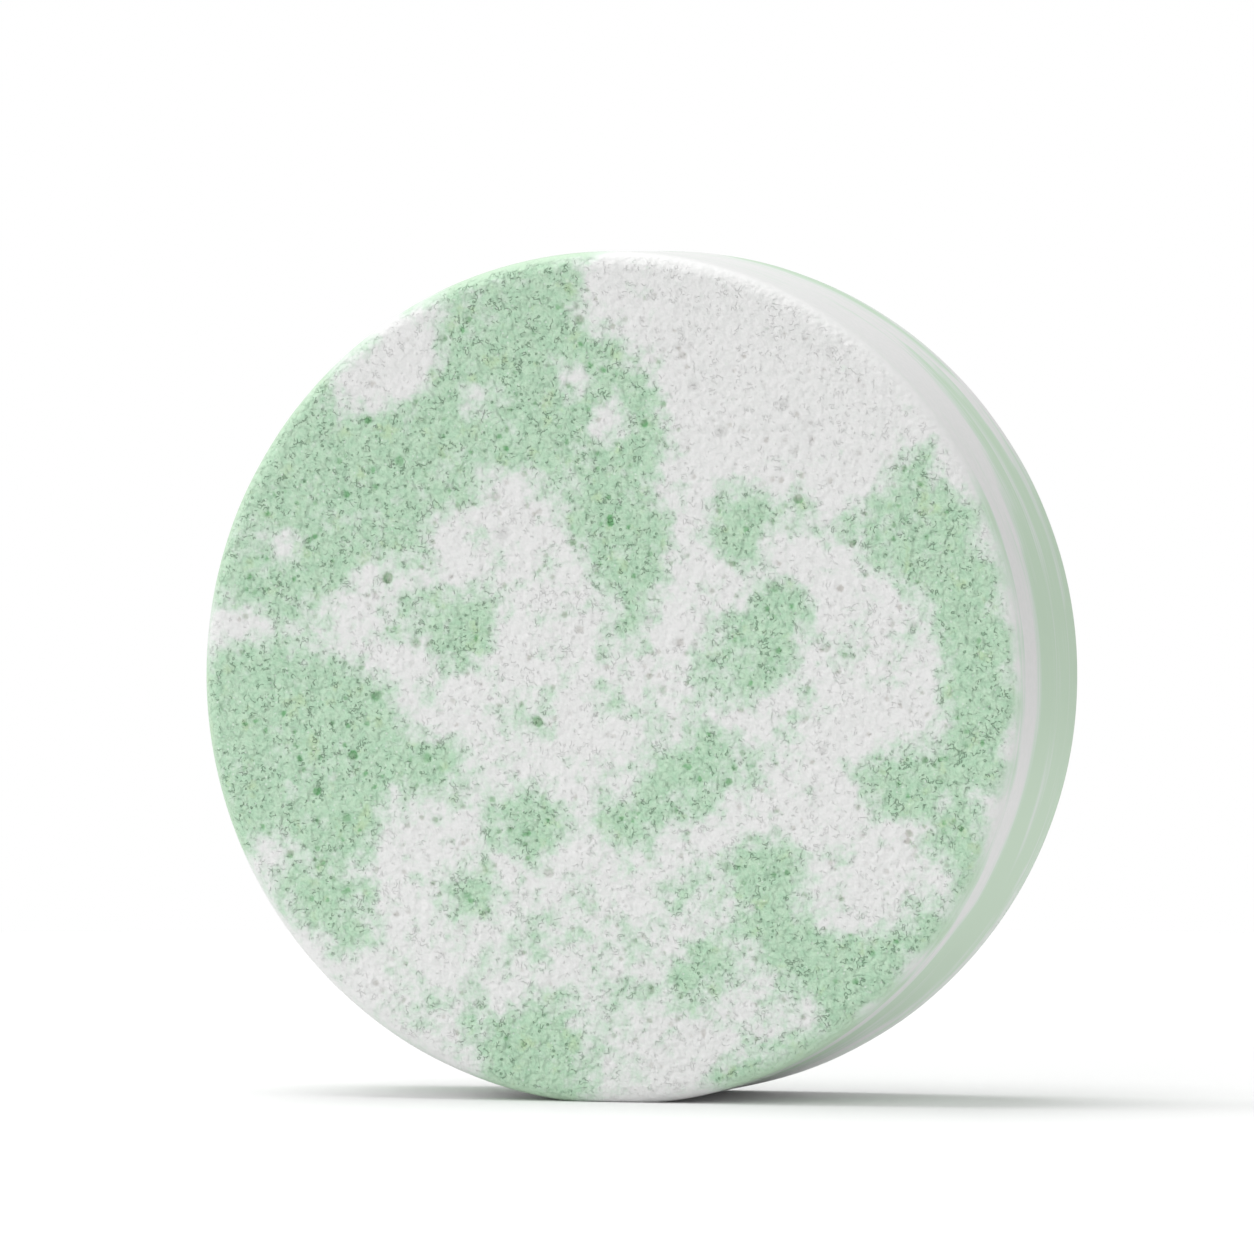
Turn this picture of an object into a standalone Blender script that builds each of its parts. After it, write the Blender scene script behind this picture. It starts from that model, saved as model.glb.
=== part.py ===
"""Two-colour shaving soap puck, standing on its edge.

A pressed disc of white soap holds separate lumps of green soap: thick patches in
both flat faces, and drawn-out streaks along the side wall. Each lump sits in a
pocket of the white base with a thin seam all round it, flush with the surface.

Metres, +Z up. The puck's axis runs along Y and its front face looks towards -Y.
"""

import math

import bmesh
import bpy

MM = 0.001

# Driving sizes of the pressed disc
PUCK_DIAMETER = 70.0 * MM
PUCK_THICKNESS = 19.6 * MM
RIM_RADIUS = 1.6 * MM
STANDING_FLAT_WIDTH = 8.0 * MM

# Sizes of the lumps and of the seam round each one
LUMP_SEAM = 0.3 * MM
LUMP_EDGE_RADIUS = 0.6 * MM
LARGE_LUMP_DEPTH = 4.5 * MM
SMALL_LUMP_DEPTH = 2.6 * MM
STREAK_END_RADIUS = 0.4 * MM

# Mesh fineness
PUCK_STEPS = 96
RIM_STEPS = 4
OUTLINE_STEPS = 3
STREAK_STEP_DEGREES = 6.0
STREAK_LEAST_STEPS = 6
STREAK_SWELL_POWER = 0.7
WELD_DISTANCE = 0.01 * MM

PUCK_RADIUS = PUCK_DIAMETER / 2
HALF_THICKNESS = PUCK_THICKNESS / 2
STANDING_HEIGHT = math.sqrt(PUCK_RADIUS ** 2 - (STANDING_FLAT_WIDTH / 2) ** 2)
CUTTER_MARGIN = 1.0 * MM

# Lump outlines on the faces: depth, then points right and up of the centre as shares of the radius
FRONT_LUMPS = {
    "upper_left": (LARGE_LUMP_DEPTH, [
        (-0.42, 0.98), (-0.22, 1.06), (-0.03, 1.06), (-0.09, 0.86), (0.11, 0.78), (0.12, 0.46),
        (0.09, 0.16), (-0.03, 0.27), (-0.16, 0.46), (-0.32, 0.46), (-0.48, 0.30), (-0.69, 0.19),
        (-0.97, 0.19), (-1.02, 0.32), (-0.85, 0.49), (-0.73, 0.62), (-0.49, 0.64), (-0.40, 0.79)]),
    "middle_left": (SMALL_LUMP_DEPTH, [
        (-0.51, 0.11), (-0.39, 0.19), (-0.28, 0.20), (-0.29, 0.10), (-0.42, 0.04)]),
    "lower_left": (LARGE_LUMP_DEPTH, [
        (-0.94, 0.05), (-0.76, 0.07), (-0.56, 0.00), (-0.50, -0.14), (-0.38, -0.16), (-0.39, -0.26),
        (-0.53, -0.28), (-0.60, -0.46), (-0.59, -0.64), (-0.71, -0.60), (-0.85, -0.46),
        (-1.02, -0.32), (-1.06, -0.10)]),
    "centre_right": (SMALL_LUMP_DEPTH, [
        (0.27, 0.12), (0.46, 0.20), (0.46, 0.09), (0.34, -0.06), (0.25, 0.03)]),
    "right_edge": (LARGE_LUMP_DEPTH, [
        (0.64, 0.49), (0.77, 0.52), (0.87, 0.32), (0.93, 0.09), (0.91, -0.20), (0.82, -0.41),
        (0.74, -0.34), (0.63, -0.27), (0.67, -0.17), (0.80, -0.13), (0.81, 0.06), (0.76, 0.20),
        (0.62, 0.34)]),
    "lower_right": (LARGE_LUMP_DEPTH, [
        (0.33, -0.39), (0.46, -0.43), (0.46, -0.56), (0.59, -0.63), (0.71, -0.60), (0.65, -0.69),
        (0.54, -0.74), (0.39, -0.61), (0.31, -0.50)]),
    "bottom": (LARGE_LUMP_DEPTH, [
        (-0.25, -0.81), (-0.15, -0.77), (-0.05, -0.83), (-0.06, -0.97), (-0.17, -1.08), (-0.30, -1.02)]),
    "bottom_right": (SMALL_LUMP_DEPTH, [
        (0.27, -0.93), (0.38, -0.86), (0.50, -0.85), (0.56, -0.96), (0.36, -1.06)]),
    "centre_low": (SMALL_LUMP_DEPTH, [
        (-0.29, -0.33), (-0.20, -0.27), (-0.12, -0.30), (-0.15, -0.39), (-0.24, -0.40)]),
    "low_right": (SMALL_LUMP_DEPTH, [
        (0.13, -0.69), (0.25, -0.65), (0.24, -0.74), (0.16, -0.76)]),
    "centre_band": (SMALL_LUMP_DEPTH, [
        (0.11, -0.20), (0.31, -0.14), (0.34, -0.23), (0.22, -0.33), (0.03, -0.36), (0.07, -0.27)]),
    "upper_right": (SMALL_LUMP_DEPTH, [
        (0.26, 0.40), (0.37, 0.45), (0.39, 0.36), (0.32, 0.27)]),
    "low_centre": (SMALL_LUMP_DEPTH, [
        (-0.41, -0.49), (-0.32, -0.45), (-0.28, -0.51), (-0.37, -0.55)]),
}
BACK_LUMPS = {
    "upper": (LARGE_LUMP_DEPTH, [
        (-0.10, 0.72), (0.20, 0.78), (0.42, 0.62), (0.36, 0.40), (0.12, 0.34), (-0.08, 0.48)]),
    "left": (LARGE_LUMP_DEPTH, [
        (-0.80, 0.20), (-0.60, 0.36), (-0.40, 0.28), (-0.36, 0.05), (-0.55, -0.12), (-0.76, -0.05)]),
    "lower_left": (LARGE_LUMP_DEPTH, [
        (-0.60, -0.36), (-0.36, -0.30), (-0.20, -0.45), (-0.26, -0.68), (-0.48, -0.62)]),
    "right": (LARGE_LUMP_DEPTH, [
        (0.42, 0.14), (0.66, 0.24), (0.80, 0.06), (0.72, -0.20), (0.50, -0.16)]),
    "lower": (LARGE_LUMP_DEPTH, [
        (0.08, -0.50), (0.30, -0.42), (0.50, -0.52), (0.44, -0.70), (0.20, -0.74)]),
    "upper_left": (SMALL_LUMP_DEPTH, [
        (-0.52, 0.62), (-0.36, 0.67), (-0.30, 0.53), (-0.44, 0.47)]),
}

# Streaks along the side wall: start and end angle from the right-hand side, counted upwards,
# place between the faces as a share of half the thickness (front positive), and half width
SIDE_STREAKS = {
    "right_broad": (-54.0, 50.0, -0.24, 5.2 * MM),
    "lower_front": (-66.0, -34.0, 0.46, 1.2 * MM),
    "upper_rear": (46.0, 80.0, -0.72, 1.0 * MM),
    "top": (88.0, 122.0, -0.45, 1.7 * MM),
    "left_broad": (134.0, 206.0, -0.22, 3.2 * MM),
    "left_lower": (216.0, 256.0, -0.40, 2.2 * MM),
}


def new_collection(name):
    collection = bpy.data.collections.new(name)
    bpy.context.scene.collection.children.link(collection)
    return collection


def soap_material(name, colour, roughness):
    material = bpy.data.materials.new(name)
    material.use_nodes = True
    shader = material.node_tree.nodes["Principled BSDF"]
    shader.inputs["Base Color"].default_value = (*colour, 1.0)
    shader.inputs["Roughness"].default_value = roughness
    shader.inputs["Metallic"].default_value = 0.0
    material.diffuse_color = (*colour, 1.0)
    return material


def place(name, data, collection, frame):
    """Add an object in the puck's own frame: face right, face up, axis towards the front."""
    placed = bpy.data.objects.new(name, data)
    collection.objects.link(placed)
    placed.parent = frame
    return placed


def hide_cutter(cutter):
    cutter.hide_render = True
    cutter.display_type = "WIRE"


def add_boolean(target, operation, operand):
    cut = target.modifiers.new(operation.lower(), "BOOLEAN")
    cut.operation = operation
    cut.solver = "EXACT"
    cut.object = operand


def curve_to_mesh(curve_object, collection, frame):
    """Turn a capped curve into a closed mesh object of the same name and remove the curve."""
    name = curve_object.name
    bpy.context.view_layer.update()
    graph = bpy.context.evaluated_depsgraph_get()
    mesh = bpy.data.meshes.new_from_object(curve_object.evaluated_get(graph))
    weld = bmesh.new()
    weld.from_mesh(mesh)
    bmesh.ops.remove_doubles(weld, verts=weld.verts, dist=WELD_DISTANCE)
    bmesh.ops.recalc_face_normals(weld, faces=weld.faces)
    weld.to_mesh(mesh)
    weld.free()
    matrix = curve_object.matrix_world.copy()
    bpy.data.objects.remove(curve_object)
    solid = place(name, mesh, collection, frame)
    solid.matrix_world = matrix
    return solid


def turned_disc(name, collection, frame):
    """The whole pressed disc: a turned profile with flat faces and rounded rims."""
    profile = [(0.0, HALF_THICKNESS)]
    for side in (1, -1):
        for step in range(RIM_STEPS + 1):
            share = step / RIM_STEPS if side > 0 else 1 - step / RIM_STEPS
            angle = share * math.pi / 2
            radius = PUCK_RADIUS - RIM_RADIUS + RIM_RADIUS * math.sin(angle)
            height = side * (HALF_THICKNESS - RIM_RADIUS + RIM_RADIUS * math.cos(angle))
            profile.append((radius, height))
    profile.append((0.0, -HALF_THICKNESS))
    mesh = bpy.data.meshes.new(name)
    points = [(radius, 0.0, height) for radius, height in profile]
    edges = [(index, index + 1) for index in range(len(points) - 1)]
    mesh.from_pydata(points, edges, [])
    disc = place(name, mesh, collection, frame)
    turn = disc.modifiers.new("turn", "SCREW")
    turn.axis = "Z"
    turn.steps = PUCK_STEPS
    turn.render_steps = PUCK_STEPS
    turn.use_merge_vertices = True
    turn.merge_threshold = WELD_DISTANCE
    return disc


def standing_flat_cutter(collection, frame):
    """A box below the disc whose top is the flat that the puck stands on."""
    mesh = bpy.data.meshes.new("standing_flat_cutter")
    box = bmesh.new()
    bmesh.ops.create_cube(box, size=1.0)
    box.to_mesh(mesh)
    box.free()
    cutter = place("standing_flat_cutter", mesh, collection, frame)
    depth = PUCK_RADIUS
    cutter.scale = (PUCK_DIAMETER, depth, PUCK_THICKNESS + 2 * CUTTER_MARGIN)
    cutter.location = (0.0, -STANDING_HEIGHT - depth / 2, 0.0)
    hide_cutter(cutter)
    return cutter


def face_lump(name, side, depth, outline, grow, collection, frame):
    """A patch of soap with a rounded bottom edge, standing proud of the face; side +1 is the front."""
    curve = bpy.data.curves.new(name, "CURVE")
    curve.dimensions = "2D"
    curve.fill_mode = "BOTH"
    curve.resolution_u = OUTLINE_STEPS
    curve.bevel_depth = LUMP_EDGE_RADIUS
    curve.bevel_resolution = 0
    curve.offset = grow - LUMP_EDGE_RADIUS
    proud = CUTTER_MARGIN + LUMP_EDGE_RADIUS
    height = depth + grow + proud
    curve.extrude = height / 2 - LUMP_EDGE_RADIUS
    spline = curve.splines.new("BEZIER")
    spline.bezier_points.add(len(outline) - 1)
    spline.use_cyclic_u = True
    for point, (right, up) in zip(spline.bezier_points, outline):
        point.co = (right * PUCK_RADIUS, up * PUCK_RADIUS, 0.0)
        point.handle_left_type = "AUTO"
        point.handle_right_type = "AUTO"
    patch = place(name, curve, collection, frame)
    patch.location.z = side * (HALF_THICKNESS + proud - height / 2)
    return curve_to_mesh(patch, collection, frame)


def side_streak(name, start, end, place_share, half_width, grow, collection, frame):
    """A spindle of soap bent round the wall, widest in the middle and drawn out to blunt ends.

    The bevel depth is one, so that each point's radius is the spindle's own radius there.
    """
    curve = bpy.data.curves.new(name, "CURVE")
    curve.dimensions = "3D"
    curve.use_fill_caps = True
    curve.bevel_depth = 1.0
    curve.bevel_resolution = 2
    count = max(STREAK_LEAST_STEPS, round((end - start) / STREAK_STEP_DEGREES)) + 1
    extra = math.degrees(grow / PUCK_RADIUS)
    spline = curve.splines.new("POLY")
    spline.points.add(count - 1)
    for index, point in enumerate(spline.points):
        share = index / (count - 1)
        angle = math.radians(start - extra + share * (end - start + 2 * extra))
        point.co = (PUCK_RADIUS * math.cos(angle), PUCK_RADIUS * math.sin(angle),
                    place_share * HALF_THICKNESS, 1.0)
        swell = math.sin(math.pi * share) ** STREAK_SWELL_POWER
        point.radius = STREAK_END_RADIUS + (half_width - STREAK_END_RADIUS) * swell + grow
    streak = place(name, curve, collection, frame)
    return curve_to_mesh(streak, collection, frame)


def build():
    for leftover in list(bpy.data.objects):
        bpy.data.objects.remove(leftover)
    parts = new_collection("shaving_soap_puck")
    cutters = new_collection("cutters")
    pockets = new_collection("pocket_cutters")
    white_soap = soap_material("white_soap", (0.83, 0.83, 0.81), 0.75)
    green_soap = soap_material("green_soap", (0.48, 0.71, 0.54), 0.75)
    green_streak = soap_material("green_streak_soap", (0.45, 0.60, 0.46), 0.45)

    frame = bpy.data.objects.new("puck_frame", None)
    parts.objects.link(frame)
    frame.location = (0.0, 0.0, STANDING_HEIGHT)
    frame.rotation_euler = (math.radians(90.0), 0.0, 0.0)
    bpy.context.view_layer.update()

    envelope = turned_disc("disc_envelope", cutters, frame)
    hide_cutter(envelope)
    flat = standing_flat_cutter(cutters, frame)
    add_boolean(envelope, "DIFFERENCE", flat)

    def set_lump(name, material, make, *shape):
        pocket = make("pocket_" + name, *shape, LUMP_SEAM, pockets, frame)
        hide_cutter(pocket)
        lump = make(name, *shape, 0.0, parts, frame)
        lump.data.materials.append(material)
        add_boolean(lump, "INTERSECT", envelope)

    for face, side, lumps in (("front", 1, FRONT_LUMPS), ("back", -1, BACK_LUMPS)):
        for spot, (depth, outline) in lumps.items():
            set_lump(f"green_lump_{face}_{spot}", green_soap, face_lump, side, depth, outline)
    for spot, streak in SIDE_STREAKS.items():
        set_lump(f"green_streak_{spot}", green_streak, side_streak, *streak)

    base = turned_disc("white_soap_base", parts, frame)
    base.data.materials.append(white_soap)
    add_boolean(base, "DIFFERENCE", flat)
    pocketing = base.modifiers.new("pockets", "BOOLEAN")
    pocketing.operation = "DIFFERENCE"
    pocketing.solver = "EXACT"
    pocketing.operand_type = "COLLECTION"
    pocketing.collection = pockets


build()
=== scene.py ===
import math

import bpy
import numpy as np
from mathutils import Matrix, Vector, noise
from mathutils.bvhtree import BVHTree
from mathutils.geometry import delaunay_2d_cdt
from mathutils.kdtree import KDTree


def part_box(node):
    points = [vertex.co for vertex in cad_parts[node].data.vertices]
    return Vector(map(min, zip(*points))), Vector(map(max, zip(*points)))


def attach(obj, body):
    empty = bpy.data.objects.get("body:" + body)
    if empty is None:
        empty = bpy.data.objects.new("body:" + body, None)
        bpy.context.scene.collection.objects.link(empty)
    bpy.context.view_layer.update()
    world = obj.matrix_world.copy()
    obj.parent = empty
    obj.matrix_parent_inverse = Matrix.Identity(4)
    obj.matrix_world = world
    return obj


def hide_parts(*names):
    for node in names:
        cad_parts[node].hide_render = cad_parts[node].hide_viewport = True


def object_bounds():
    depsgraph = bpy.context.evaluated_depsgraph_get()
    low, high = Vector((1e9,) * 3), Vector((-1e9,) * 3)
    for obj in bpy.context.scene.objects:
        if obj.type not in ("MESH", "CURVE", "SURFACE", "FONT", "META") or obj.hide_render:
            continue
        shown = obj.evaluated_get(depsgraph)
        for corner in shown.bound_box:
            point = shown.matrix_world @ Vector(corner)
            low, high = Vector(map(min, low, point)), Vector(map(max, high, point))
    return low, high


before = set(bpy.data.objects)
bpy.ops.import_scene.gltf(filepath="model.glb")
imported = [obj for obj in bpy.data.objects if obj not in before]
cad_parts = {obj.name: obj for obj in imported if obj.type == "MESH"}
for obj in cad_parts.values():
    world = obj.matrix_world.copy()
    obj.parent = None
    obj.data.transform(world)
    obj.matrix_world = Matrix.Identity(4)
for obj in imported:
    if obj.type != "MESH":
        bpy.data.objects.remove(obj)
cad_low, cad_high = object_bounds()
MM = 0.001

# The pressed disc
# Soap crumbs of two colours are pressed in a round mould, which leaves two flat faces,
# rounded rims and a straight wall. Its skin is made once and then shared out to the pieces.
puck_radius = (cad_high.x - cad_low.x) / 2
half_thickness = (cad_high.y - cad_low.y) / 2
disc_centre = Vector((0.0, (cad_low.y + cad_high.y) / 2, cad_high.z - puck_radius))
rim_radius = 1.6 * MM
crease_radius = puck_radius - rim_radius
around_count = 640
rim_rows = 8
wall_rows = 24
front_pitch = 0.23 * MM
back_pitch = 0.40 * MM
# Shares of a pitch: the step between two rows, a point's random shift and the gap along the crease
row_spacing = 0.866
point_shift = 0.25
crease_gap = 0.6


def crumb_lattice(pitch, seed):
    """Fill the crease circle with small triangles: first the ring, then a jittered hexagonal lattice."""
    turn = np.arange(around_count) * math.tau / around_count
    ring = crease_radius * np.c_[np.cos(turn), np.sin(turn)]
    reach = int(1.2 * crease_radius / pitch)
    column, row = np.meshgrid(np.arange(-reach, reach + 1), np.arange(-reach, reach + 1))
    lattice = np.c_[(column + 0.5 * (row % 2)).ravel(), row_spacing * row.ravel()] * pitch
    lattice += np.random.default_rng(seed).uniform(-point_shift, point_shift, lattice.shape) * pitch
    lattice = lattice[np.hypot(*lattice.T) < crease_radius - crease_gap * pitch]
    flat = np.vstack([ring, lattice])
    filled = delaunay_2d_cdt([Vector(p) for p in flat], [], [list(range(around_count))], 1, 1e-8)
    return flat, np.array(filled[2])


def mould_profile():
    """Radius, distance behind the front face and arc length of each row between the two creases."""
    rows = []
    for step in range(1, rim_rows + 1):
        bend = step / rim_rows * math.pi / 2
        rows.append((crease_radius + rim_radius * math.sin(bend),
                     rim_radius * (1 - math.cos(bend)), crease_radius + rim_radius * bend))
    wall_height = 2 * (half_thickness - rim_radius)
    wall_start = crease_radius + rim_radius * math.pi / 2
    for step in range(1, wall_rows + 1):
        down = wall_height * step / wall_rows
        rows.append((puck_radius, rim_radius + down, wall_start + down))
    for step in range(1, rim_rows):
        bend = step / rim_rows * math.pi / 2
        rows.append((crease_radius + rim_radius * math.cos(bend),
                     rim_radius + wall_height + rim_radius * math.sin(bend),
                     wall_start + wall_height + rim_radius * bend))
    return rows


front_flat, front_triangles = crumb_lattice(front_pitch, 5)
back_flat, back_triangles = crumb_lattice(back_pitch, 6)
band_rows = mould_profile()
front_count = len(front_flat)
band_count = len(band_rows) * around_count
skin_count = front_count + band_count + len(back_flat)
back_start = front_count + band_count

skin = np.zeros((skin_count, 3))
skin[:front_count, 0] = front_flat[:, 0]
skin[:front_count, 1] = -half_thickness
skin[:front_count, 2] = front_flat[:, 1]
skin[back_start:, 0] = back_flat[:, 0]
skin[back_start:, 1] = half_thickness
skin[back_start:, 2] = back_flat[:, 1]
unrolled = np.hypot(skin[:, 0], skin[:, 2])
profile_length = 2 * crease_radius + math.pi * rim_radius + 2 * (half_thickness - rim_radius)
around = np.arange(around_count) * math.tau / around_count
row_starts = [0]
for index, (radius, behind, length) in enumerate(band_rows):
    first = front_count + index * around_count
    row_starts.append(first)
    row = slice(first, first + around_count)
    skin[row] = np.c_[radius * np.cos(around), np.full(around_count, behind - half_thickness),
                      radius * np.sin(around)]
    unrolled[row] = length
row_starts.append(back_start)
unrolled[back_start:] = profile_length - unrolled[back_start:]

here = np.arange(around_count)
onward = (here + 1) % around_count
band_triangles = []
for near, far in zip(row_starts, row_starts[1:]):
    band_triangles.append(np.c_[near + here, far + here, far + onward])
    band_triangles.append(np.c_[near + here, far + onward, near + onward])
triangles = np.vstack([front_triangles, *band_triangles, back_start + back_triangles[:, ::-1]])


def skin_normals(points):
    """Unit normal of every triangle and of every skin vertex."""
    corner = points[triangles]
    across = np.cross(corner[:, 1] - corner[:, 0], corner[:, 2] - corner[:, 0])
    vertex = np.zeros_like(points)
    for turn in range(3):
        np.add.at(vertex, triangles[:, turn], across)
    vertex /= np.linalg.norm(vertex, axis=1, keepdims=True)
    return across / np.linalg.norm(across, axis=1, keepdims=True), vertex


pressed_triangle_normal, pressed_normal = skin_normals(skin)
skin += np.array(disc_centre)

# The lumps of green soap in the skin
# Each CAD solid shows on the skin where its outside lies. Every triangle belongs to the solid below it,
# and the distance to the nearest edge between the two soaps drives how the colours run into each other.
node_names = sorted(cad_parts)
base_label = node_names.index("white_soap_base")
solid_points = []
solid_faces = []
solid_label = []
for label, name in enumerate(node_names):
    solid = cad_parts[name].data
    offset = len(solid_points)
    solid_points.extend(vertex.co.copy() for vertex in solid.vertices)
    for polygon in solid.polygons:
        solid_faces.append([offset + vertex for vertex in polygon.vertices])
        solid_label.append(label)
solids = BVHTree.FromPolygons(solid_points, solid_faces)

look_height = 0.5 * MM
look_depth = 1.5 * MM
look_from = skin[triangles].mean(axis=1) + pressed_triangle_normal * look_height
triangle_label = np.full(len(triangles), base_label)
for index, (start, outward) in enumerate(zip(look_from, pressed_triangle_normal)):
    hit = solids.ray_cast(Vector(start), -Vector(outward), look_depth)
    if hit[2] is not None:
        triangle_label[index] = solid_label[hit[2]]

green_around = np.zeros(skin_count)
white_around = np.zeros(skin_count)
for corner in range(3):
    np.add.at(green_around, triangles[:, corner], triangle_label != base_label)
    np.add.at(white_around, triangles[:, corner], triangle_label == base_label)
edge_vertices = np.flatnonzero((green_around > 0) & (white_around > 0))
edge_tree = KDTree(len(edge_vertices))
for index in edge_vertices:
    edge_tree.insert(skin[index], index)
edge_tree.balance()
# Tint is the distance in mm from the edge, above zero in green and below it in white, up to a limit
tint_limit = 1.6
from_edge = np.array([edge_tree.find(point)[2] / MM for point in skin])
tint = np.minimum(from_edge, tint_limit) * np.where(green_around > white_around, 1.0, -1.0)

# Where the two soaps mix on the front face and its rim: right and up of the centre and spread, all in mm,
# and the tint added
MIXED_SPOTS = [
    (-18.0, 26.5, 2.6, -2.2), (-11.6, 23.0, 1.5, -2.6), (-2.6, 24.4, 1.5, -2.4), (-0.5, 20.7, 1.6, -2.6),
    (-27.4, 10.8, 1.7, -2.4), (-20.6, 8.9, 1.3, -1.8), (-24.5, 5.0, 2.2, 1.0), (-28.8, 5.6, 2.0, 0.8),
    (-28.6, -14.4, 2.0, -2.6), (-19.0, 3.5, 1.6, 1.0), (-32.0, 2.6, 1.2, 1.2), (-26.0, 3.0, 1.4, 0.9),
    (12.5, 25.0, 8.5, -1.6), (20.5, 20.0, 4.0, -0.8), (4.5, 29.5, 4.0, -0.8), (7.0, 15.5, 1.8, 1.3),
    (16.2, 14.6, 1.6, 1.6), (19.5, 12.6, 2.2, 1.4), (12.0, 12.4, 1.8, 1.5), (23.5, 16.5, 2.0, -1.0),
    (27.0, 14.0, 1.5, -1.3), (21.0, 16.0, 1.6, -0.9), (15.5, 6.0, 2.2, 1.2), (21.0, 3.0, 1.6, 0.9),
    (6.8, -1.2, 2.0, 1.3), (3.5, -6.5, 2.8, 0.2), (-6.0, -2.6, 1.7, 1.8), (-4.0, 1.0, 1.4, 0.7),
    (8.5, -9.0, 2.8, -1.0), (0.5, -12.5, 2.4, 0.7), (6.5, -17.5, 2.4, 1.5), (-13.0, -16.5, 2.4, -0.8),
    (1.5, -2.0, 2.0, 0.9), (-1.0, 9.0, 2.0, 1.2), (-3.0, 12.0, 1.4, 0.9), (2.6, 4.5, 1.8, 0.8),
    (10.5, -21.0, 3.0, 1.4), (16.0, -22.0, 2.6, 1.6), (21.0, -23.5, 2.6, 1.6), (13.5, -26.0, 2.6, 1.3),
    (19.0, -27.0, 2.4, 1.5), (24.5, -19.5, 2.2, 1.2), (-15.5, -27.0, 2.6, 2.3), (-11.0, -28.5, 2.0, 2.0),
    (-6.0, -21.5, 2.2, 0.9), (2.0, -22.0, 2.4, 0.9), (2.0, -29.5, 2.4, 1.0), (-9.5, -22.5, 2.0, 0.8),
    (-17.5, -1.0, 2.0, 0.9), (-16.0, 1.5, 1.8, -0.9), (-20.5, -5.0, 1.4, -0.8), (-14.5, -7.0, 1.8, 0.9),
    (-11.0, 2.6, 1.8, 1.2), (-6.5, 8.0, 1.6, 0.9), (-16.5, 7.6, 1.6, 1.0), (-10.0, -11.0, 2.0, 0.6),
    (26.5, -11.8, 1.8, -1.4), (29.0, -9.5, 1.5, -1.0), (28.0, 2.0, 1.4, -0.8), (17.5, -1.5, 1.8, 0.8),
    (-22.0, -18.5, 2.0, -0.8), (-25.0, 14.5, 2.2, -0.7), (-14.0, 17.0, 1.4, -0.6), (1.5, 15.0, 1.4, -0.7),
    (29.8, 13.0, 2.2, 2.0), (32.0, 8.0, 2.2, 2.6), (33.2, 3.0, 2.0, 2.6), (33.4, -2.0, 2.0, 2.6),
    (32.6, -7.0, 2.0, 2.2), (30.5, -14.0, 1.6, 1.4), (28.0, -18.5, 1.8, 1.6), (25.0, 9.0, 1.8, 1.0),
    (4.0, -3.5, 3.0, 0.4), (8.5, -4.5, 3.0, 0.5), (-1.0, -9.0, 2.6, 0.8), (0.0, -25.5, 3.0, 0.7),
    (-27.0, 21.0, 2.2, 2.6), (-24.6, 24.2, 2.0, 2.6), (-21.6, 27.2, 1.6, 2.0), (-28.5, 18.0, 2.0, 1.6),
    (30.4, -16.4, 1.8, 2.0), (27.6, -20.6, 2.0, 2.4), (23.8, -25.0, 2.0, 2.4), (19.6, -28.4, 2.0, 2.0),
    (5.5, -9.5, 1.6, -0.9), (10.8, -9.6, 1.4, -0.8), (6.0, -5.0, 1.2, -0.6), (-17.0, 30.0, 1.6, 1.6),
    (-10.0, -19.0, 7.0, 0.55), (3.0, -20.0, 6.0, 0.4), (-4.0, 3.0, 5.0, 0.35), (14.0, -15.0, 5.0, 0.3),
]
face_and_rim = front_count + rim_rows * around_count
front_skin = skin[:face_and_rim]
for right, up, spread, green in MIXED_SPOTS:
    away = np.hypot(front_skin[:, 0] / MM - right, (front_skin[:, 2] - disc_centre.z) / MM - up)
    tint[:face_and_rim] += green * np.exp(-(away / spread) ** 2)

# The back isn't in the photograph, so its mixed spots are strewn at random
strewn = np.random.default_rng(33)
back_spot_count = 60
back_spot_green = (-1.6, 2.0)
back_spot_spread = (1.3, 3.2)
back_face = skin[back_start:]
for _ in range(back_spot_count):
    right, up = strewn.uniform(-crease_radius / MM, crease_radius / MM, 2)
    away = np.hypot(back_face[:, 0] / MM - right, (back_face[:, 2] - disc_centre.z) / MM - up)
    green = strewn.uniform(*back_spot_green)
    tint[back_start:] += green * np.exp(-(away / strewn.uniform(*back_spot_spread)) ** 2)

# Streaks that the mould drew out along the wall: from and to in degrees round the disc, with 0 on the right,
# place behind the middle of the wall and half width in mm, and the tint added
WALL_STREAKS = [
    (-46.0, 46.0, 8.4, 1.6, 2.4), (-44.0, 26.0, -2.0, 2.0, 2.0), (-42.0, -7.0, 1.5, 0.55, -2.2),
    (10.0, 44.0, 2.4, 0.65, -2.2), (24.0, 52.0, 5.4, 0.5, -1.8), (-12.0, 12.0, -0.9, 0.4, -1.5),
    (-36.0, 34.0, -6.6, 1.1, -1.3), (28.0, 60.0, -2.2, 1.8, -2.4), (-60.0, -30.0, 4.6, 0.5, -1.8),
    (14.0, 30.0, -8.6, 0.6, 1.8), (-30.0, -14.0, -3.0, 0.5, 1.6), (56.0, 84.0, 6.6, 0.8, 1.8),
    (60.0, 100.0, 3.6, 0.5, 1.6), (-80.0, -52.0, -4.4, 0.7, 1.6), (140.0, 200.0, 1.2, 0.6, -2.0),
    (-76.0, -6.0, -3.2, 1.8, 2.8), (-74.0, -14.0, 0.6, 2.0, 2.0), (-70.0, -28.0, 5.6, 1.8, 1.8),
    (-66.0, -30.0, -6.4, 0.5, -1.2), (150.0, 190.0, -4.8, 0.6, 1.7), (220.0, 250.0, 6.4, 0.7, 1.8),
    (100.0, 128.0, 6.8, 0.6, -1.6),
]
band = slice(front_count, back_start)
round_disc = np.degrees(np.arctan2(skin[band, 2] - disc_centre.z, skin[band, 0]))
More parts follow.
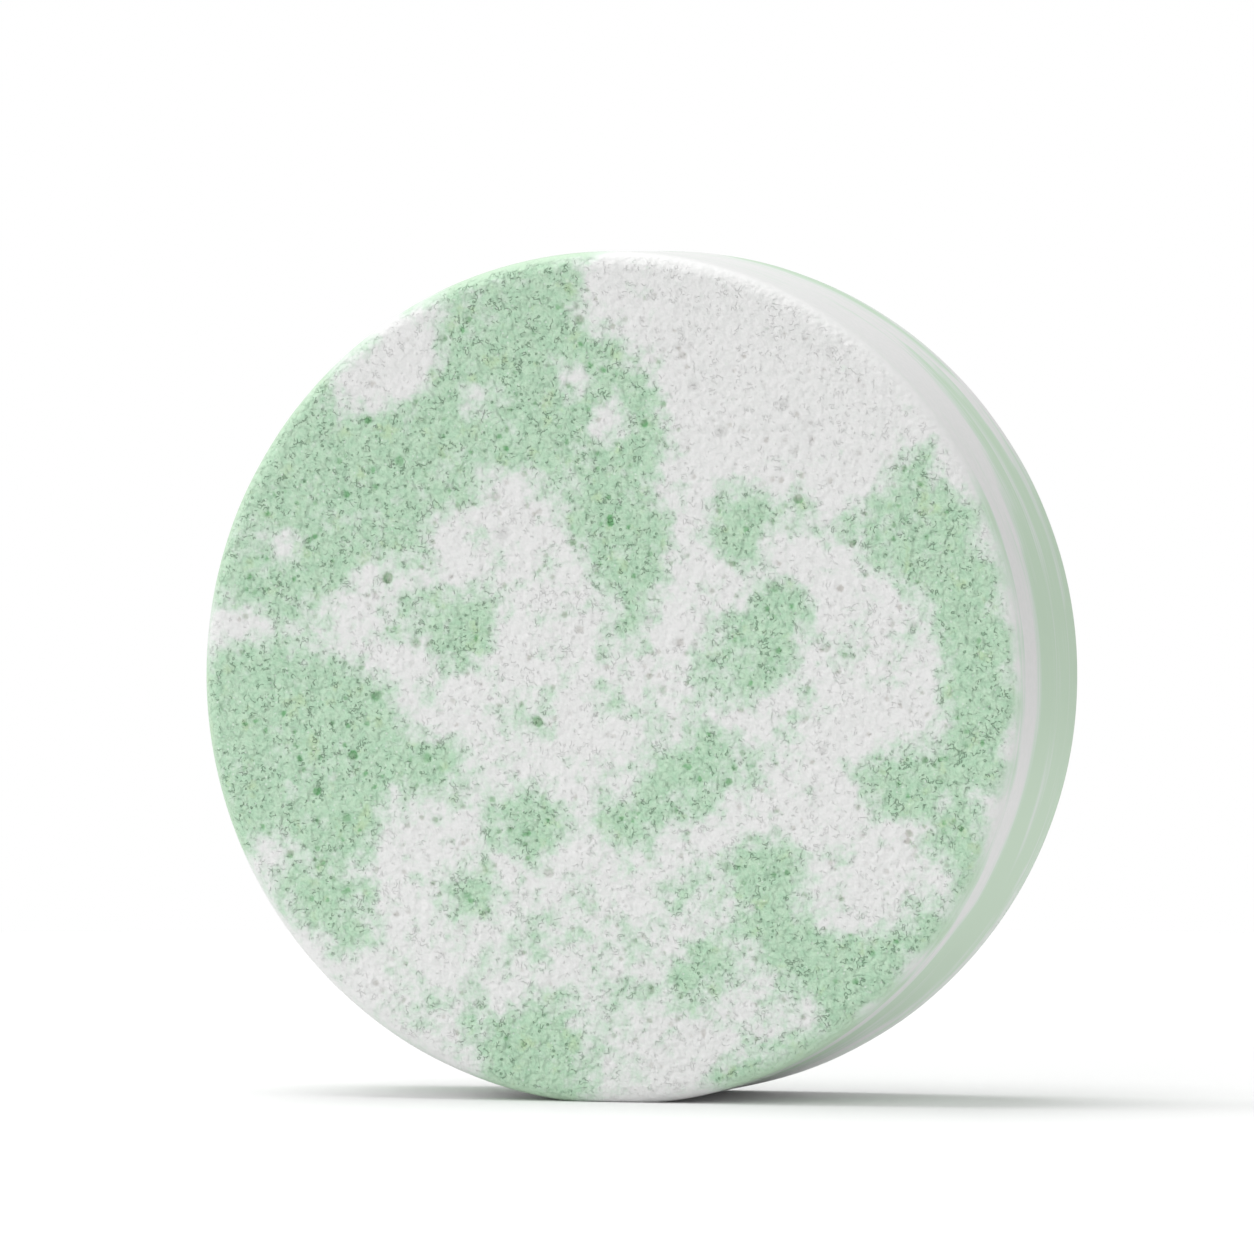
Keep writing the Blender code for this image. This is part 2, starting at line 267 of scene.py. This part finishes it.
for begin, end, behind, half_width, green in WALL_STREAKS:
    past_middle = (round_disc - (begin + end) / 2 + 180.0) % 360.0 - 180.0
    taper = np.clip(1.0 - (2.0 * past_middle / (end - begin)) ** 2, 0.0, 1.0)
    off_line = (skin[band, 1] - disc_centre.y) / MM - behind
    tint[band] += green * taper * np.exp(-(off_line / half_width) ** 2)

# The grain of the two faces
# The mould doesn't smear the faces, so the crumbs still show: soft lumps under a millimetre across,
# small holes between them and a few open pores. The grain fades out over the rims, and the wall, which
# slid in the mould, is smooth. The fade is in degrees round the rim.
rim_grain_end = 72.0
rim_grain_fade = 50.0
grain_face = np.zeros(skin_count)
grain_face[:front_count] = 1.0
grain_face[back_start:] = 1.0
for index in range(1, rim_rows):
    bend = 90.0 * index / rim_rows
    share = np.clip((rim_grain_end - bend) / rim_grain_fade, 0.0, 1.0)
    for row in (index, len(band_rows) - index + 1):
        grain_face[row_starts[row]:row_starts[row] + around_count] = share

# Widths and heights of the crumbs, of the slow swell below them and of the fine grain on them, all in mm
crumb_width = 0.85
dome_height = 0.13
dome_limit = 0.5
swell_width = 2.6
swell_height = 0.06
fine_width = 0.45
fine_height = 0.05
face_sink = 0.08
wall_swell_width = 6.0
wall_swell_height = 0.03
wall_sink = 0.01


def crumb_height(point):
    """Height of the crumbs over the pressed face at a point in mm, in mm."""
    cell = noise.voronoi(point / crumb_width)[0]
    dome = min(cell[1] - cell[0], dome_limit)
    swell = noise.noise(point / swell_width)
    fine = noise.noise(point / fine_width)
    return dome_height * dome + swell_height * swell + fine_height * fine - face_sink


relief = np.zeros(skin_count)
grained = np.flatnonzero(grain_face > 0)
for index in grained:
    relief[index] = crumb_height(Vector(skin[index]) / MM)
for index in range(front_count, back_start):
    relief[index] = wall_swell_height * noise.noise(Vector(skin[index]) / (wall_swell_width * MM)) - wall_sink

# How much shade is painted inside the pores and holes, for each skin vertex
hole = np.zeros(skin_count)
skin_tree = KDTree(len(grained))
for index in grained:
    skin_tree.insert(skin[index], index)
skin_tree.balance()


def press_hole(right, behind, up, radius, depth, inside_shade):
    """Sink a round hole into a face, all in mm from the disc's centre, and note how much shade to paint
    inside it.
    """
    middle = Vector((right, behind, up)) * MM + disc_centre
    for _, index, distance in skin_tree.find_range(middle, radius * MM):
        share = 1.0 - (distance / (radius * MM)) ** 2
        relief[index] -= depth * share * (0.4 + 0.6 * share)
        hole[index] = max(hole[index], inside_shade * min(1.0, 2.0 * share))


# Open pores that the photograph shows: right and up of the centre and radius, in mm, and how much shade is
# painted inside
PORES = [
    (-20.6, 21.1, 0.40, 1.0), (-18.9, 8.1, 0.55, 1.0), (-21.9, -6.5, 0.50, 1.0), (-25.0, -9.5, 0.42, 1.0),
    (-27.3, -14.7, 0.40, 0.9), (-6.0, -3.6, 0.52, 1.0), (16.2, 14.8, 0.48, 1.0), (3.1, 20.9, 0.42, 1.0),
    (-3.0, 11.1, 0.36, 0.9), (0.2, 13.1, 0.34, 1.0), (0.2, 12.7, 0.34, 1.0), (-2.4, 4.0, 0.45, 0.6),
    (-3.7, 5.2, 0.32, 0.8), (-0.7, 1.7, 0.32, 0.6), (10.6, 9.5, 0.34, 0.9), (10.3, -8.3, 0.36, 0.9),
    (-8.7, 18.8, 0.32, 0.9), (20.8, 11.2, 0.36, 1.0), (19.8, 7.5, 0.38, 0.9), (25.6, -12.4, 0.40, 1.0),
    (25.5, -13.0, 0.36, 1.0), (-8.9, 11.8, 0.75, 0.2), (9.8, 20.3, 0.65, 0.25), (7.5, 24.0, 0.60, 0.2),
    (15.1, 22.6, 0.50, 0.2), (18.4, -5.7, 0.50, 0.3), (26.0, 4.5, 0.42, 0.4), (-1.0, -19.5, 0.45, 0.3),
    (3.6, 27.0, 0.40, 0.2), (8.4, -27.0, 0.42, 0.3), (-12.5, -20.5, 0.40, 0.3), (19.0, 27.0, 0.45, 0.2),
]
face_reach = (crease_radius - 0.8 * MM) / MM
front_y = -half_thickness / MM
back_y = half_thickness / MM
pore_depth = 0.7
for right, up, radius, inside_shade in PORES:
    press_hole(right, front_y, up, radius, pore_depth * radius, inside_shade)

# Small holes between the crumbs, strewn over both faces: radii in mm, and depth as a share of the radius
front_hole_count = 800
back_hole_count = 500
hole_radius = (0.24, 0.34)
wide_hole_radius = (0.40, 0.60)
wide_hole_share = 0.03
hole_depth = 0.6
# Range of how much shade is painted inside the small holes
hole_inside_shade = (0.2, 0.8)
scatter = np.random.default_rng(21)
for face_y, count in ((front_y, front_hole_count), (back_y, back_hole_count)):
    for _ in range(count):
        out = face_reach * math.sqrt(scatter.random())
        turn = scatter.uniform(0.0, math.tau)
        radius = scatter.uniform(*hole_radius)
        if scatter.random() < wide_hole_share:
            radius = scatter.uniform(*wide_hole_radius)
        inside_shade = scatter.uniform(*hole_inside_shade)
        press_hole(out * math.cos(turn), face_y, out * math.sin(turn), radius, hole_depth * radius, inside_shade)

relief *= MM
relief[grained] *= grain_face[grained]
skin += pressed_normal * relief[:, None]
skin[:, 2] = np.maximum(skin[:, 2], cad_low.z)
_, skin_normal = skin_normals(skin)

# Pressed soap, the stuff of every piece
# Matte opaque soap. On the faces the colours meet in ragged crumbs, with shade painted dark into the
# crevices, pits and pores between them and pale flecks in the green that are partly white crumbs and partly
# painted highlights;
# on the rims and the wall the mould drew them out into long streaks round the disc.
WHITE_SOAP = (0.780, 0.777, 0.773, 1.0)
SHADED_WHITE = (0.746, 0.754, 0.743, 1.0)
PALE_GREEN = (0.640, 0.740, 0.655, 1.0)
GREEN_SOAP = (0.435, 0.650, 0.468, 1.0)
LIGHT_GREEN = (0.535, 0.720, 0.545, 1.0)
OLIVE_GREEN = (0.500, 0.670, 0.420, 1.0)
SMEARED_GREEN = (0.535, 0.690, 0.530, 1.0)
# Pale flecks in the green: partly white crumbs, partly painted highlights on the crumbs' tops
FLECK_WHITE_AND_HIGHLIGHT = (0.780, 0.830, 0.785, 1.0)
# Painted shade: colours that darken the crevices and pits between the crumbs, grey in the white and dark
# green in the green
CREVICE_SHADE_GREY = (0.560, 0.555, 0.540, 1.0)
CREVICE_SHADE_GREEN = (0.210, 0.370, 0.230, 1.0)
# Painted shade inside pores and holes: grey in the white, dark green in the green
PORE_SHADE_GREY = (0.560, 0.545, 0.515, 1.0)
PORE_SHADE_GREEN = (0.150, 0.420, 0.170, 1.0)
PER_MM = 1000.0
PER_MM_ALONG_SMEAR = 45.0
WHITE_TINT = -1.70
GREEN_TINT = 1.50


def pressed_soap(name):
    """Soap whose colour, grain and streaks follow the tint, grain_face and hole of the skin, where hole sets
    the shade painted inside pores and holes.
    """
    material = bpy.data.materials.new(name)
    material.use_nodes = True
    nodes = material.node_tree.nodes
    links = material.node_tree.links
    shader = nodes["Principled BSDF"]

    def node(kind, **settings):
        made = nodes.new(kind)
        for key, value in settings.items():
            setattr(made, key, value)
        return made

    def math_node(operation, first, second):
        made = node("ShaderNodeMath", operation=operation)
        for socket, value in zip(made.inputs, (first, second)):
            if isinstance(value, (int, float)):
                socket.default_value = value
            else:
                links.new(value, socket)
        return made.outputs[0]

    def ranged(value, low, high, to_low=0.0, to_high=1.0):
        made = node("ShaderNodeMapRange", interpolation_type="SMOOTHSTEP")
        links.new(value, made.inputs["Value"])
        made.inputs["From Min"].default_value = low
        made.inputs["From Max"].default_value = high
        made.inputs["To Min"].default_value = to_low
        made.inputs["To Max"].default_value = to_high
        return made.outputs["Result"]

    def mixed(factor, first, second):
        made = node("ShaderNodeMix", data_type="RGBA")
        links.new(factor, made.inputs["Factor"])
        for socket, colour in ((made.inputs[6], first), (made.inputs[7], second)):
            if isinstance(colour, tuple):
                socket.default_value = colour
            else:
                links.new(colour, socket)
        return made.outputs[2]

    def attribute(label):
        made = node("ShaderNodeAttribute", attribute_type="GEOMETRY", attribute_name=label)
        return made.outputs["Fac"]

    place = node("ShaderNodeTexCoord").outputs["Object"]

    def stretched(right, behind, up):
        made = node("ShaderNodeMapping")
        links.new(place, made.inputs["Vector"])
        made.inputs["Scale"].default_value = (right, behind, up)
        return made.outputs["Vector"]

    def cloud(vector, scale, detail):
        made = node("ShaderNodeTexNoise")
        links.new(vector, made.inputs["Vector"])
        made.inputs["Scale"].default_value = scale
        made.inputs["Detail"].default_value = detail
        made.inputs["Roughness"].default_value = 0.6
        return math_node("SUBTRACT", made.outputs["Fac"], 0.5)

    crumb_place = stretched(PER_MM, PER_MM, PER_MM)
    smear_place = stretched(PER_MM_ALONG_SMEAR, PER_MM, PER_MM_ALONG_SMEAR)
    on_face = attribute("grain_face")
    score = attribute("tint")
    # The hole attribute carries the shade painted inside pores and holes
    depth = attribute("hole")

    lumps = math_node("MULTIPLY", cloud(crumb_place, 0.36, 1.0), 5.0)
    crumbs = math_node("MULTIPLY", cloud(crumb_place, 0.90, 2.0), 4.6)
    specks = math_node("MULTIPLY", cloud(crumb_place, 3.0, 1.0), 1.2)
    ragged = math_node("ADD", math_node("ADD", lumps, crumbs), specks)
    bands = math_node("MULTIPLY", cloud(smear_place, 0.9, 2.0), 4.0)
    threads = math_node("MULTIPLY", cloud(smear_place, 3.0, 2.0), 4.0)
    spread = node("ShaderNodeMix", data_type="FLOAT")
    links.new(on_face, spread.inputs["Factor"])
    links.new(math_node("ADD", bands, threads), spread.inputs[2])
    links.new(ragged, spread.inputs[3])
    green = math_node("ADD", score, spread.outputs[0])
    green_range = node("ShaderNodeMapRange")
    links.new(green, green_range.inputs["Value"])
    green_range.inputs["From Min"].default_value = WHITE_TINT
    green_range.inputs["From Max"].default_value = GREEN_TINT
    green_share = green_range.outputs["Result"]

    tone = ranged(cloud(crumb_place, 1.6, 3.0), -0.22, 0.22)
    olive = math_node("MULTIPLY", ranged(cloud(crumb_place, 0.5, 3.0), 0.06, 0.22), 0.7)
    crumb_green = mixed(olive, mixed(tone, GREEN_SOAP, LIGHT_GREEN), OLIVE_GREEN)
    green_tone = mixed(on_face, SMEARED_GREEN, crumb_green)
    white_tone = mixed(tone, WHITE_SOAP, SHADED_WHITE)
    half_green = mixed(ranged(green_share, 0.0, 0.60), white_tone, PALE_GREEN)
    soap_colour = mixed(ranged(green_share, 0.35, 1.0), half_green, green_tone)

    def scattered(scale, share, outer, inner):
        made = node("ShaderNodeTexVoronoi", feature="F1")
        links.new(crumb_place, made.inputs["Vector"])
        made.inputs["Scale"].default_value = scale
        drawn = node("ShaderNodeSeparateColor")
        links.new(made.outputs["Color"], drawn.inputs["Color"])
        chosen = math_node("LESS_THAN", drawn.outputs["Red"], share)
        return math_node("MULTIPLY", ranged(made.outputs["Distance"], outer, inner), chosen)

    bend = math_node("ABSOLUTE", cloud(crumb_place, 2.1, 1.0), 0.0)
    open_here = math_node("MULTIPLY", ranged(cloud(crumb_place, 1.7, 1.0), 0.05, 0.13), on_face)
    crevice = math_node("MULTIPLY", ranged(bend, 0.045, 0.0), open_here)
    # Painted shade: how strongly the crevices and the pits below are darkened, more in the green
    crevice_shade_share = math_node("MULTIPLY", crevice, ranged(green_share, 0.1, 0.9, 0.08, 0.60))
    pit = math_node("MULTIPLY", scattered(1.3, 0.45, 0.19, 0.09), on_face)
    pit_shade_share = math_node("MULTIPLY", pit, ranged(green_share, 0.1, 0.9, 0.20, 0.70))
    # Pale flecks in the green, partly white crumbs and partly painted highlights
    fleck = math_node("MULTIPLY", scattered(2.2, 0.40, 0.28, 0.12), on_face)
    fleck_and_highlight_share = math_node("MULTIPLY", fleck, ranged(green_share, 0.2, 1.0, 0.0, 0.45))
    # Colour of the painted shade in the crevices and pits
    crevice_shade_colour = mixed(green_share, CREVICE_SHADE_GREY, CREVICE_SHADE_GREEN)
    pore_shade_colour = mixed(green_share, PORE_SHADE_GREY, PORE_SHADE_GREEN)
    with_flecks_and_highlights = mixed(fleck_and_highlight_share, soap_colour, FLECK_WHITE_AND_HIGHLIGHT)
    # The crevices and pits get their painted shade
    with_crevice_shade = mixed(math_node("MAXIMUM", crevice_shade_share, pit_shade_share), with_flecks_and_highlights, crevice_shade_colour)
    # Pores and holes get their painted shade
    with_pore_shade = mixed(math_node("MULTIPLY", ranged(depth, 0.15, 0.95), 0.85), with_crevice_shade, pore_shade_colour)
    links.new(with_pore_shade, shader.inputs["Base Color"])

    links.new(ranged(on_face, 0.0, 1.0, 0.45, 0.75), shader.inputs["Roughness"])
    shader.inputs["Specular IOR Level"].default_value = 0.35

    cells = node("ShaderNodeTexVoronoi", feature="F1")
    links.new(crumb_place, cells.inputs["Vector"])
    cells.inputs["Scale"].default_value = 1.9
    domes = math_node("MULTIPLY", cells.outputs["Distance"], -0.08)
    coarse = math_node("MULTIPLY", cloud(crumb_place, 1.3, 1.0), 0.36)
    fine = math_node("MULTIPLY", cloud(crumb_place, 3.4, 1.0), 0.08)
    grooves = math_node("MULTIPLY", math_node("MAXIMUM", crevice, pit), -0.07)
    crumb_grain = math_node("ADD", math_node("ADD", coarse, fine), math_node("ADD", domes, grooves))
    grain_strength = math_node("MULTIPLY", ranged(green_share, 0.0, 1.0, 0.76, 1.90), on_face)
    grain = math_node("MULTIPLY", crumb_grain, grain_strength)
    drag = math_node("MULTIPLY", cloud(smear_place, 2.2, 2.0), 0.02)
    bump = node("ShaderNodeBump")
    bump.inputs["Strength"].default_value = 1.0
    bump.inputs["Distance"].default_value = MM
    links.new(math_node("ADD", grain, drag), bump.inputs["Height"])
    links.new(bump.outputs["Normal"], shader.inputs["Normal"])
    return material


# Cutting the skin into pieces
# A lump is its patch of skin, a wall all round it down into the disc and a floor. The white base
# has the same wall and floor turned round, as the pocket that the lump is pressed into.
# A lump's floor lies below its solid and clear of the puck's wall, a streak's outside its inner radius.
floor_below_lump = 0.3 * MM
floor_inside_wall = 1.2 * MM
floor_above_streak = 0.4 * MM


def patch_loops(patch):
    """Closed loops of skin vertices round a patch of triangles, in the triangles' own direction."""
    directed = np.vstack([patch[:, [0, 1]], patch[:, [1, 2]], patch[:, [2, 0]]]).tolist()
    backward = {(end, start) for start, end in directed}
    following = {}
    for start, end in directed:
        if (start, end) not in backward:
            following.setdefault(start, []).append(end)
    loops = []
    while following:
        loop = [next(iter(following))]
        while True:
            ends = following[loop[-1]]
            step = ends.pop()
            if not ends:
                del following[loop[-1]]
            if step == loop[0]:
                break
            loop.append(step)
        loops.append(loop)
    return loops


points = skin.tolist()
normals = skin_normal.tolist()
skin_of = list(range(skin_count))


def sunk_vertex(index, place):
    """Add a vertex below the skin that keeps the attributes of the skin vertex above it."""
    points.append(place)
    normals.append(normals[index])
    skin_of.append(index)
    return len(points) - 1


def below_skin(index, floor_y):
    """The place under a skin vertex on a lump's floor, drawn in where it would touch the wall."""
    x, _, z = skin[index]
    up = z - disc_centre.z
    draw_in = min(1.0, (puck_radius - floor_inside_wall) / math.hypot(x, up))
    return [x * draw_in, floor_y, disc_centre.z + up * draw_in]


def lump_inside(name, patch):
    """Wall and floor faces of a lump, with their outside towards the white base."""
    low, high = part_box(name)
    faces = []
    streak = "streak" in name
    sunk = {}
    if streak:
        inner = min(math.hypot(v.co.x, v.co.z - disc_centre.z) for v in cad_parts[name].data.vertices)
        sink = (inner + floor_above_streak) / puck_radius
        for index in np.unique(patch).tolist():
            x, y, z = skin[index]
            sunk[index] = sunk_vertex(index, [x * sink, y, disc_centre.z + (z - disc_centre.z) * sink])
        faces.extend([sunk[c], sunk[b], sunk[a]] for a, b, c in patch.tolist())
    loops = patch_loops(patch)
    border_y = [skin[index][1] for loop in loops for index in loop]
    if "front" in name:
        floor_y = max(high.y, *border_y) + floor_below_lump
    else:
        floor_y = min(low.y, *border_y) - floor_below_lump
    for loop in loops:
        if streak:
            below = [sunk[index] for index in loop]
        else:
            below = [sunk_vertex(index, below_skin(index, floor_y)) for index in loop]
            faces.append(below[::-1])
        for place, index in enumerate(loop):
            following = (place + 1) % len(loop)
            faces.append([loop[following], index, below[place], below[following]])
    return faces


# Places on each piece's flat map: the base's two sides, a lump's skin, and a corner for what is hidden
front_map_centre = (0.34, 0.66)
front_map_size = 0.33
back_map_centre = (0.84, 0.16)
back_map_size = 0.15
lump_map_start = 0.06
lump_map_size = 0.92
hidden_map_start = 0.01
hidden_map_size = 0.03


def flatten(mesh, name, above, skin_faces):
    """Lay the skin out flat in a map: rolled out round the front centre or, behind, round the back one."""
    angle = np.arctan2(skin[above, 2] - disc_centre.z, skin[above, 0])
    front_out = unrolled[above]
    back_out = profile_length - front_out
    corner_vertex = np.zeros(len(mesh.loops), dtype=int)
    mesh.loops.foreach_get("vertex_index", corner_vertex)
    corner_face = np.repeat(np.arange(len(mesh.polygons)), [p.loop_total for p in mesh.polygons])
    spot_front = np.c_[front_out * np.cos(angle), front_out * np.sin(angle)]
    spot_back = np.c_[back_out * np.cos(angle), back_out * np.sin(angle)]
    if name.startswith("white_soap_base"):
        half = profile_length / 2
        middle = np.add.reduceat(front_out[corner_vertex], [p.loop_start for p in mesh.polygons])
        middle /= [p.loop_total for p in mesh.polygons]
        face_behind = middle > half
        spot = np.where(face_behind[corner_face][:, None],
                        spot_back[corner_vertex] / half * back_map_size + back_map_centre,
                        spot_front[corner_vertex] / half * front_map_size + front_map_centre)
    else:
        spot = (spot_back if "back" in name else spot_front)[corner_vertex]
        spot = spot - spot.min(axis=0)
        spot = lump_map_start + lump_map_size * spot / spot.max()
    hidden = corner_face >= skin_faces
    within = (spot[hidden] - spot.min(axis=0)) / (np.ptp(spot, axis=0) + 1e-9)
    spot[hidden] = hidden_map_start + hidden_map_size * within
    mesh.uv_layers.new(name="OFBake").data.foreach_set("uv", spot.ravel())


def make_piece(name, patch, hidden, material):
    """Build one closed piece from its skin triangles and hidden faces, in the frame's own place."""
    faces = patch.tolist() + hidden
    used = sorted({index for face in faces for index in face})
    renumber = {index: new for new, index in enumerate(used)}
    mesh = bpy.data.meshes.new(name)
    mesh.from_pydata([points[index] for index in used], [], [[renumber[i] for i in face] for face in faces])
    above = np.array([skin_of[index] for index in used])
    for label, values in (("tint", tint), ("grain_face", grain_face), ("hole", hole)):
        mesh.attributes.new(label, "FLOAT", "POINT").data.foreach_set("value", values[above])
    mesh.polygons.foreach_set("use_smooth", np.ones(len(faces), dtype=bool))
    flatten(mesh, name, above, len(patch))
    mesh.normals_split_custom_set_from_vertices([normals[index] for index in used])
    mesh.materials.append(material)
    piece = bpy.data.objects.new(name, mesh)
    bpy.context.scene.collection.objects.link(piece)
    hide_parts(name.replace("_skin", ""))
    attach(piece, "root")


white_soap = pressed_soap("white_soap")
green_soap = pressed_soap("green_soap")
green_streak_soap = pressed_soap("green_streak_soap")
pocket_faces = []
for label, name in enumerate(node_names):
    if label == base_label:
        continue
    patch = triangles[triangle_label == label]
    inside = lump_inside(name, patch)
    pocket_faces.extend(face[::-1] for face in inside)
    streak = "streak" in name
    make_piece(name + "_skin", patch, inside, green_streak_soap if streak else green_soap)
make_piece("white_soap_base_skin", triangles[triangle_label == base_label], pocket_faces,
           white_soap)

# Floor
# A round sheet of white paper that lies flat under the puck, matte, with a weak glow that only the
# camera sees, so that its edge doesn't show against the white background.
paper_radius = 0.28
paper_sides = 96
paper_turn = np.arange(paper_sides) * math.tau / paper_sides
paper_mesh = bpy.data.meshes.new("white_paper")
paper_rim = [(paper_radius * math.cos(turn), paper_radius * math.sin(turn), 0.0) for turn in paper_turn]
paper_mesh.from_pydata(paper_rim, [], [list(range(paper_sides))])
paper = bpy.data.objects.new("white_paper", paper_mesh)
bpy.context.scene.collection.objects.link(paper)
white_paper = bpy.data.materials.new("white_paper")
white_paper.use_nodes = True
paper_shader = white_paper.node_tree.nodes["Principled BSDF"]
paper_shader.inputs["Base Color"].default_value = (0.82, 0.82, 0.82, 1.0)
paper_shader.inputs["Roughness"].default_value = 0.9
paper_shader.inputs["Specular IOR Level"].default_value = 0.0
paper_shader.inputs["Emission Color"].default_value = (0.02, 0.02, 0.02, 1.0)
paper_seen = white_paper.node_tree.nodes.new("ShaderNodeLightPath")
white_paper.node_tree.links.new(paper_seen.outputs["Is Camera Ray"], paper_shader.inputs["Emission Strength"])
paper_mesh.materials.append(white_paper)

# Studio light
# A soft lamp overhead, wide weaker ones in front, left and right, and white all round, which the camera
# sees at full strength as the background.
def soft_lamp(name, place, size, power):
    """A round lamp that looks at the puck: place and size in metres, power in watts."""
    lamp = bpy.data.lights.new(name, "AREA")
    lamp.shape = "DISK"
    lamp.size = size
    lamp.energy = power
    made = bpy.data.objects.new(name, lamp)
    made.location = place
    aim = disc_centre - Vector(place)
    made.rotation_euler = aim.to_track_quat("-Z", "Y").to_euler()
    bpy.context.scene.collection.objects.link(made)


soft_lamp("top_lamp", (-0.34, 0.10, 1.40), 1.1, 12.0)
soft_lamp("front_lamp", (-0.60, -1.60, 0.90), 1.6, 8.6)
soft_lamp("left_lamp", (-1.30, -0.20, 0.90), 1.4, 4.6)
soft_lamp("right_lamp", (1.20, -0.50, 1.30), 1.8, 1.2)
world = bpy.data.worlds.new("studio")
world.use_nodes = True
world_nodes = world.node_tree.nodes
world_links = world.node_tree.links
room_light = world_nodes["Background"]
room_light.inputs["Color"].default_value = (1.0, 1.0, 1.0, 1.0)
room_light.inputs["Strength"].default_value = 0.61
white_background = world_nodes.new("ShaderNodeBackground")
white_background.inputs["Color"].default_value = (1.0, 1.0, 1.0, 1.0)
white_background.inputs["Strength"].default_value = 1.0
seen_directly = world_nodes.new("ShaderNodeLightPath")
either = world_nodes.new("ShaderNodeMixShader")
world_links.new(seen_directly.outputs["Is Camera Ray"], either.inputs["Fac"])
world_links.new(room_light.outputs["Background"], either.inputs[1])
world_links.new(white_background.outputs["Background"], either.inputs[2])
world_links.new(either.outputs["Shader"], world_nodes["World Output"].inputs["Surface"])
bpy.context.scene.world = world

# Camera
# A long lens, a little to the right of the puck's axis and just above its middle. The puck's centre and
# radius in the photograph give the distance and the aim.
PHOTO_SIZE = 1254.0
PUCK_CENTRE_PX = (641.3, 675.0)
PUCK_RADIUS_PX = 423.9
camera_azimuth = math.radians(16.5)
camera_elevation = math.radians(1.6)
view_angle = math.radians(5.0)
metres_per_px = puck_radius / PUCK_RADIUS_PX
backward = Vector((math.sin(camera_azimuth) * math.cos(camera_elevation),
                   -math.cos(camera_azimuth) * math.cos(camera_elevation), math.sin(camera_elevation)))
rightward = Vector((math.cos(camera_azimuth), math.sin(camera_azimuth), 0.0))
upward = backward.cross(rightward)
puck_right = (PUCK_CENTRE_PX[0] - PHOTO_SIZE / 2) * metres_per_px
puck_down = (PUCK_CENTRE_PX[1] - PHOTO_SIZE / 2) * metres_per_px
aim_point = disc_centre - rightward * puck_right + upward * puck_down
camera_data = bpy.data.cameras.new("camera")
camera_data.angle = view_angle
camera_data.clip_end = 20.0
camera = bpy.data.objects.new("camera", camera_data)
camera.location = aim_point + backward * (PHOTO_SIZE / 2 * metres_per_px / math.tan(view_angle / 2))
camera.rotation_euler = backward.to_track_quat("Z", "Y").to_euler()
bpy.context.scene.collection.objects.link(camera)
bpy.context.scene.camera = camera
bpy.context.scene.view_settings.view_transform = "Standard"
